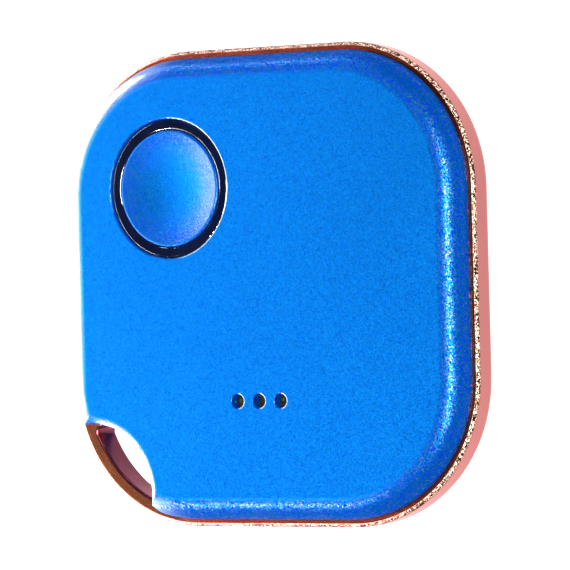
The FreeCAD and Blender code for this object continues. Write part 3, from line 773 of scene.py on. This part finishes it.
def makeScrew(look, x, y, low, point):
    # a pan head with a cross recess, a turned shank that ends in a point, and a rolled thread
    head, seat, root = (look[key] * mm for key in ("head", "seat", "root"))
    bpy.ops.object.select_all(action="DESELECT")
    bpy.ops.mesh.primitive_cylinder_add(
        vertices=48, radius=head, depth=seat - low, location=(x, y, (low + seat) / 2)
    )
    screw = bpy.context.object
    bpy.ops.object.transform_apply(location=True, rotation=True, scale=True)
    pick(screw, "FACE", lambda face: face.normal.z < -0.9)
    bpy.ops.mesh.bevel(offset=look["headEdge"] * mm, segments=5)
    pick(screw, "FACE", lambda face: face.normal.z > 0.9)
    bpy.ops.mesh.inset(thickness=head - root)
    bpy.ops.mesh.extrude_region_move(TRANSFORM_OT_translate={"value": (0, 0, point - root - seat)})
    bpy.ops.mesh.extrude_region_move(TRANSFORM_OT_translate={"value": (0, 0, root)})
    bpy.ops.transform.resize(value=(look["tip"], look["tip"], 1), center_override=(x, y, point))
    bpy.ops.object.mode_set(mode="OBJECT")
    for turn in (0, 90):
        cutWing(screw, look, x, y, low, turn)
    applied(screw, "BOOLEAN", operation="UNION", solver="EXACT", object=makeThread(look, x, y))
    bpy.data.objects.remove(bpy.data.objects["thread"])
    settle(screw)
    return screw


def cutWing(screw, look, x, y, low, turn):
    # one slot of the cross recess, narrower at its bottom
    deep = look["recess"] * mm
    bpy.ops.object.select_all(action="DESELECT")
    bpy.ops.mesh.primitive_cube_add(size=1, location=(x, y, low))
    wing = bpy.context.object
    long, wide = (look["head"] * share * mm for share in look["wing"])
    wing.scale = (long, wide, 2 * deep)
    wing.rotation_euler.z = math.radians(turn)
    bpy.ops.object.transform_apply(location=True, rotation=True, scale=True)
    pick(wing, "FACE", lambda face: face.normal.z > 0.9)
    narrow = look["wingTaper"]
    bpy.ops.transform.resize(value=(narrow, narrow, 1), center_override=(x, y, low + deep))
    bpy.ops.object.mode_set(mode="OBJECT")
    applied(screw, "BOOLEAN", operation="DIFFERENCE", solver="EXACT", object=wing)
    bpy.data.objects.remove(wing)


def makeThread(look, x, y):
    # a three-cornered tooth carried up a helix, closed at both ends
    root, crest, pitch = (look[key] * mm for key in ("root", "crest", "pitch"))
    tooth = (crest - root) / 1.5 + look["sunk"] * mm
    bpy.ops.object.select_all(action="DESELECT")
    bpy.ops.mesh.primitive_circle_add(
        vertices=3,
        radius=tooth,
        fill_type="NOTHING",
        location=(x, y, look["threadLow"] * mm),
        rotation=(math.pi / 2, math.pi / 2, 0),
    )
    thread = bpy.context.object
    thread.name = "thread"
    bpy.ops.object.transform_apply(location=False, rotation=True, scale=True)
    bpy.ops.object.mode_set(mode="EDIT")
    bpy.ops.mesh.select_all(action="SELECT")
    bpy.ops.transform.translate(value=(crest - tooth, 0, 0))
    bpy.ops.object.mode_set(mode="OBJECT")
    applied(
        thread,
        "SCREW",
        axis="Z",
        screw_offset=pitch,
        iterations=look["turns"],
        steps=look["steps"],
        render_steps=look["steps"],
        use_merge_vertices=False,
    )
    bpy.ops.object.mode_set(mode="EDIT")
    bpy.ops.mesh.select_all(action="SELECT")
    bpy.ops.mesh.fill_holes(sides=3)
    bpy.ops.mesh.normals_make_consistent(inside=False)
    bpy.ops.object.mode_set(mode="OBJECT")
    return thread


lockScrewLook = {  # mm
    "head": 1.4,
    "seat": 0.85,
    "root": 0.54,
    "crest": 0.695,
    "tip": 0.2,
    "headEdge": 0.2,
    "recess": 0.42,
    "wing": (1.3, 0.26),  # a slot's length and width, as shares of the head's radius
    "wingTaper": 0.6,
    "pitch": 0.36,
    "threadLow": 1.3,
    "turns": 5,
    "steps": 24,
    "sunk": 0.02,
}
trayScrewLook = {
    "head": 1.0,
    "seat": 1.95,
    "root": 0.37,
    "crest": 0.475,
    "tip": 0.2,
    "headEdge": 0.15,
    "recess": 0.28,
    "wing": (1.3, 0.26),  # a slot's length and width, as shares of the head's radius
    "wingTaper": 0.6,
    "pitch": 0.3,
    "threadLow": 2.35,
    "turns": 6,
    "steps": 20,
    "sunk": 0.02,
    "places": ((11.6, 11.6), (11.6, -11.6), (-13.9, -6.2)),
}


def makeLockScrew(look):
    low, high = (Vector(corner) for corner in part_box("cover_screw"))
    middle = (low + high) / 2
    screw = makeScrew(look, middle.x, middle.y, low.z, high.z)
    dress(screw, "lockScrew", "lock_screw_steel", "lock", "cover_screw")


def makeTrayScrews(look):
    # one screw is modelled, and each boss gets its own copy of it
    low, high = (Vector(corner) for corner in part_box("tray_screws"))
    firstX, firstY = look["places"][0]
    first = makeScrew(look, firstX * mm, firstY * mm, low.z, high.z)
    screws = [first]
    for x, y in look["places"][1:]:
        only(first)
        bpy.ops.object.duplicate(linked=False)
        copy = bpy.context.object
        bpy.ops.transform.translate(value=((x - firstX) * mm, (y - firstY) * mm, 0))
        bpy.ops.object.transform_apply(location=True, rotation=True, scale=True)
        screws.append(copy)
    for k, screw in enumerate(screws, 1):
        dress(screw, f"trayScrew{k}", "screw_steel", "casing", "tray_screws")


makeSoundCloth(clothLook)
print("sound cloth woven")
makeLockScrew(lockScrewLook)
makeTrayScrews(trayScrewLook)
print("screws threaded")


floorLook = {
    "size": 4.0,
    "height": -0.0165,  # low enough for the rear cover and its screw to come off above it
    "near": (0.86, 0.86, 0.86, 1),
    "far": (0.30, 0.31, 0.33, 1),
    "glow": 0.5,
    "glowNear": (1.0, 1.0, 1.0, 1),
    "glowFar": (0.1, 0.1, 0.1, 1),
    "fadeFrom": 0.12,
    "fadeTo": 0.45,
}


def makeFloor(look):
    # pale to the eye everywhere; gloss on the tag sees it fade out far away, and from below it is clear
    bpy.ops.object.select_all(action="DESELECT")
    bpy.ops.mesh.primitive_plane_add(size=look["size"], location=(0, 0, look["height"]))
    floor = bpy.context.object
    floor.name = "floor"
    material, tree, shader = newMaterial(
        "paleFloor", **{"Roughness": 0.9, "Specular IOR Level": 0.1, "Emission Strength": look["glow"]}
    )
    place = put(tree, "ShaderNodeTexCoord").outputs["Object"]
    away = put(tree, "ShaderNodeVectorMath", {0: place}, operation="LENGTH").outputs["Value"]
    fade = put(
        tree,
        "ShaderNodeMapRange",
        {"Value": away, "From Min": look["fadeFrom"], "From Max": look["fadeTo"]},
    ).outputs[0]
    seen = put(tree, "ShaderNodeLightPath").outputs["Is Camera Ray"]
    fade = calc(tree, "MULTIPLY", fade, calc(tree, "SUBTRACT", 1.0, seen))
    tree.links.new(mix(tree, fade, look["near"], look["far"]), shader.inputs["Base Color"])
    tree.links.new(mix(tree, fade, look["glowNear"], look["glowFar"]), shader.inputs["Emission Color"])
    below = put(tree, "ShaderNodeNewGeometry").outputs["Backfacing"]
    clear = put(tree, "ShaderNodeBsdfTransparent")
    both = put(tree, "ShaderNodeMixShader", {0: below, 1: shader.outputs[0], 2: clear.outputs[0]})
    tree.links.new(both.outputs[0], tree.nodes["Material Output"].inputs["Surface"])
    floor.data.materials.append(material)


def makeSoftbox(name, look):
    # a rectangular lamp that looks at the tag; radiance is what a mirror would see in it
    towards = Vector(look["direction"]).normalized()
    light = bpy.data.lights.new(name, "AREA")
    light.shape = "RECTANGLE"
    light.size, light.size_y = look["wide"], look["high"]
    light.energy = look["radiance"] * math.pi * look["wide"] * look["high"]
    light.color = look.get("colour", (1, 1, 1))
    lamp = bpy.data.objects.new(name, light)
    bpy.context.scene.collection.objects.link(lamp)
    lamp.visible_camera = False
    lamp.visible_diffuse = look.get("seenBy") != "gloss"
    lamp.visible_glossy = look.get("seenBy") != "colour"
    across = Vector((0, 1, 0)).cross(towards).normalized()
    upwards = towards.cross(across)
    lamp.matrix_world = Matrix(
        [
            (across.x, upwards.x, towards.x, towards.x * look["distance"]),
            (across.y, upwards.y, towards.y, towards.y * look["distance"]),
            (across.z, upwards.z, towards.z, towards.z * look["distance"]),
            (0, 0, 0, 1),
        ]
    )


softboxes = {
    "leftBox": {
        "direction": (-0.86, -0.24, 0.45),
        "distance": 0.9,
        "wide": 0.44,
        "high": 0.72,
        "radiance": 8,
    },
    "stripBox": {
        "direction": (-0.75, -0.02, 0.66),
        "distance": 0.9,
        "wide": 0.07,
        "high": 0.8,
        "radiance": 60,
        "seenBy": "gloss",
    },
    "frontBox": {
        "direction": (0.5, -0.05, 0.86),
        "distance": 0.5,
        "wide": 0.06,
        "high": 0.36,
        "radiance": 330,
        "colour": (0.85, 1.0, 0.78),
        "seenBy": "gloss",
    },
    "kneeBox": {
        "direction": (-0.54, -0.56, 0.63),
        "distance": 0.5,
        "wide": 0.12,
        "high": 0.03,
        "radiance": 500,
        "seenBy": "gloss",
    },
    "topBox": {
        "direction": (-0.54, 0.80, 0.25),
        "distance": 0.6,
        "wide": 0.3,
        "high": 0.08,
        "radiance": 36,
        "colour": (0.8, 1.0, 1.0),
        "seenBy": "gloss",
    },
    "sillBox": {  # a low strip at the left, under the height of the face
        "direction": (-1.0, -0.05, 0.045),
        "distance": 0.06,
        "wide": 0.005,
        "high": 0.1,
        "radiance": 900,
        "seenBy": "gloss",
    },
    "fillBox": {
        "direction": (0.3, 0.0, 0.95),
        "distance": 0.8,
        "wide": 1.2,
        "high": 1.2,
        "radiance": 2.6,
        "seenBy": "colour",
    },
}

makeFloor(floorLook)
for name, look in softboxes.items():
    makeSoftbox(name, look)

worldLook = {"seen": (0.86, 0.87, 0.88, 1), "mirrored": (0.03, 0.032, 0.036, 1)}
world = bpy.data.worlds.new("studio")
bpy.context.scene.world = world
world.use_nodes = True
seen = put(world.node_tree, "ShaderNodeLightPath").outputs["Is Camera Ray"]
shade = mix(world.node_tree, seen, worldLook["mirrored"], worldLook["seen"])
world.node_tree.links.new(shade, world.node_tree.nodes["Background"].inputs["Color"])

cameraLook = {
    "target": (2.58, 0.085, 6.0),  # mm
    "distance": 334.6,  # mm
    "yaw": 32.72,  # degrees to the tag's right
    "pitch": -0.15,
    "roll": -1.48,
    "lens": 285.0,
}


def makeCamera(look):
    yaw, pitch, roll = (math.radians(look[key]) for key in ("yaw", "pitch", "roll"))
    back = Vector(
        (math.sin(yaw) * math.cos(pitch), math.sin(pitch), math.cos(yaw) * math.cos(pitch))
    )
    level = Vector((0, 1, 0)).cross(back).normalized()
    upright = back.cross(level)
    right = level * math.cos(roll) + upright * math.sin(roll)
    up = back.cross(right)
    spot = (Vector(look["target"]) + back * look["distance"]) * mm
    camera = bpy.data.cameras.new("camera")
    camera.lens = look["lens"]
    camera.sensor_width = 36
    camera.clip_start = 0.01
    camera.clip_end = 20
    eye = bpy.data.objects.new("camera", camera)
    bpy.context.scene.collection.objects.link(eye)
    eye.matrix_world = Matrix(
        [
            (right.x, up.x, back.x, spot.x),
            (right.y, up.y, back.y, spot.y),
            (right.z, up.z, back.z, spot.z),
            (0, 0, 0, 1),
        ]
    )
    bpy.context.scene.camera = eye


makeCamera(cameraLook)
bpy.context.scene.view_settings.view_transform = "Standard"
print("stage set")
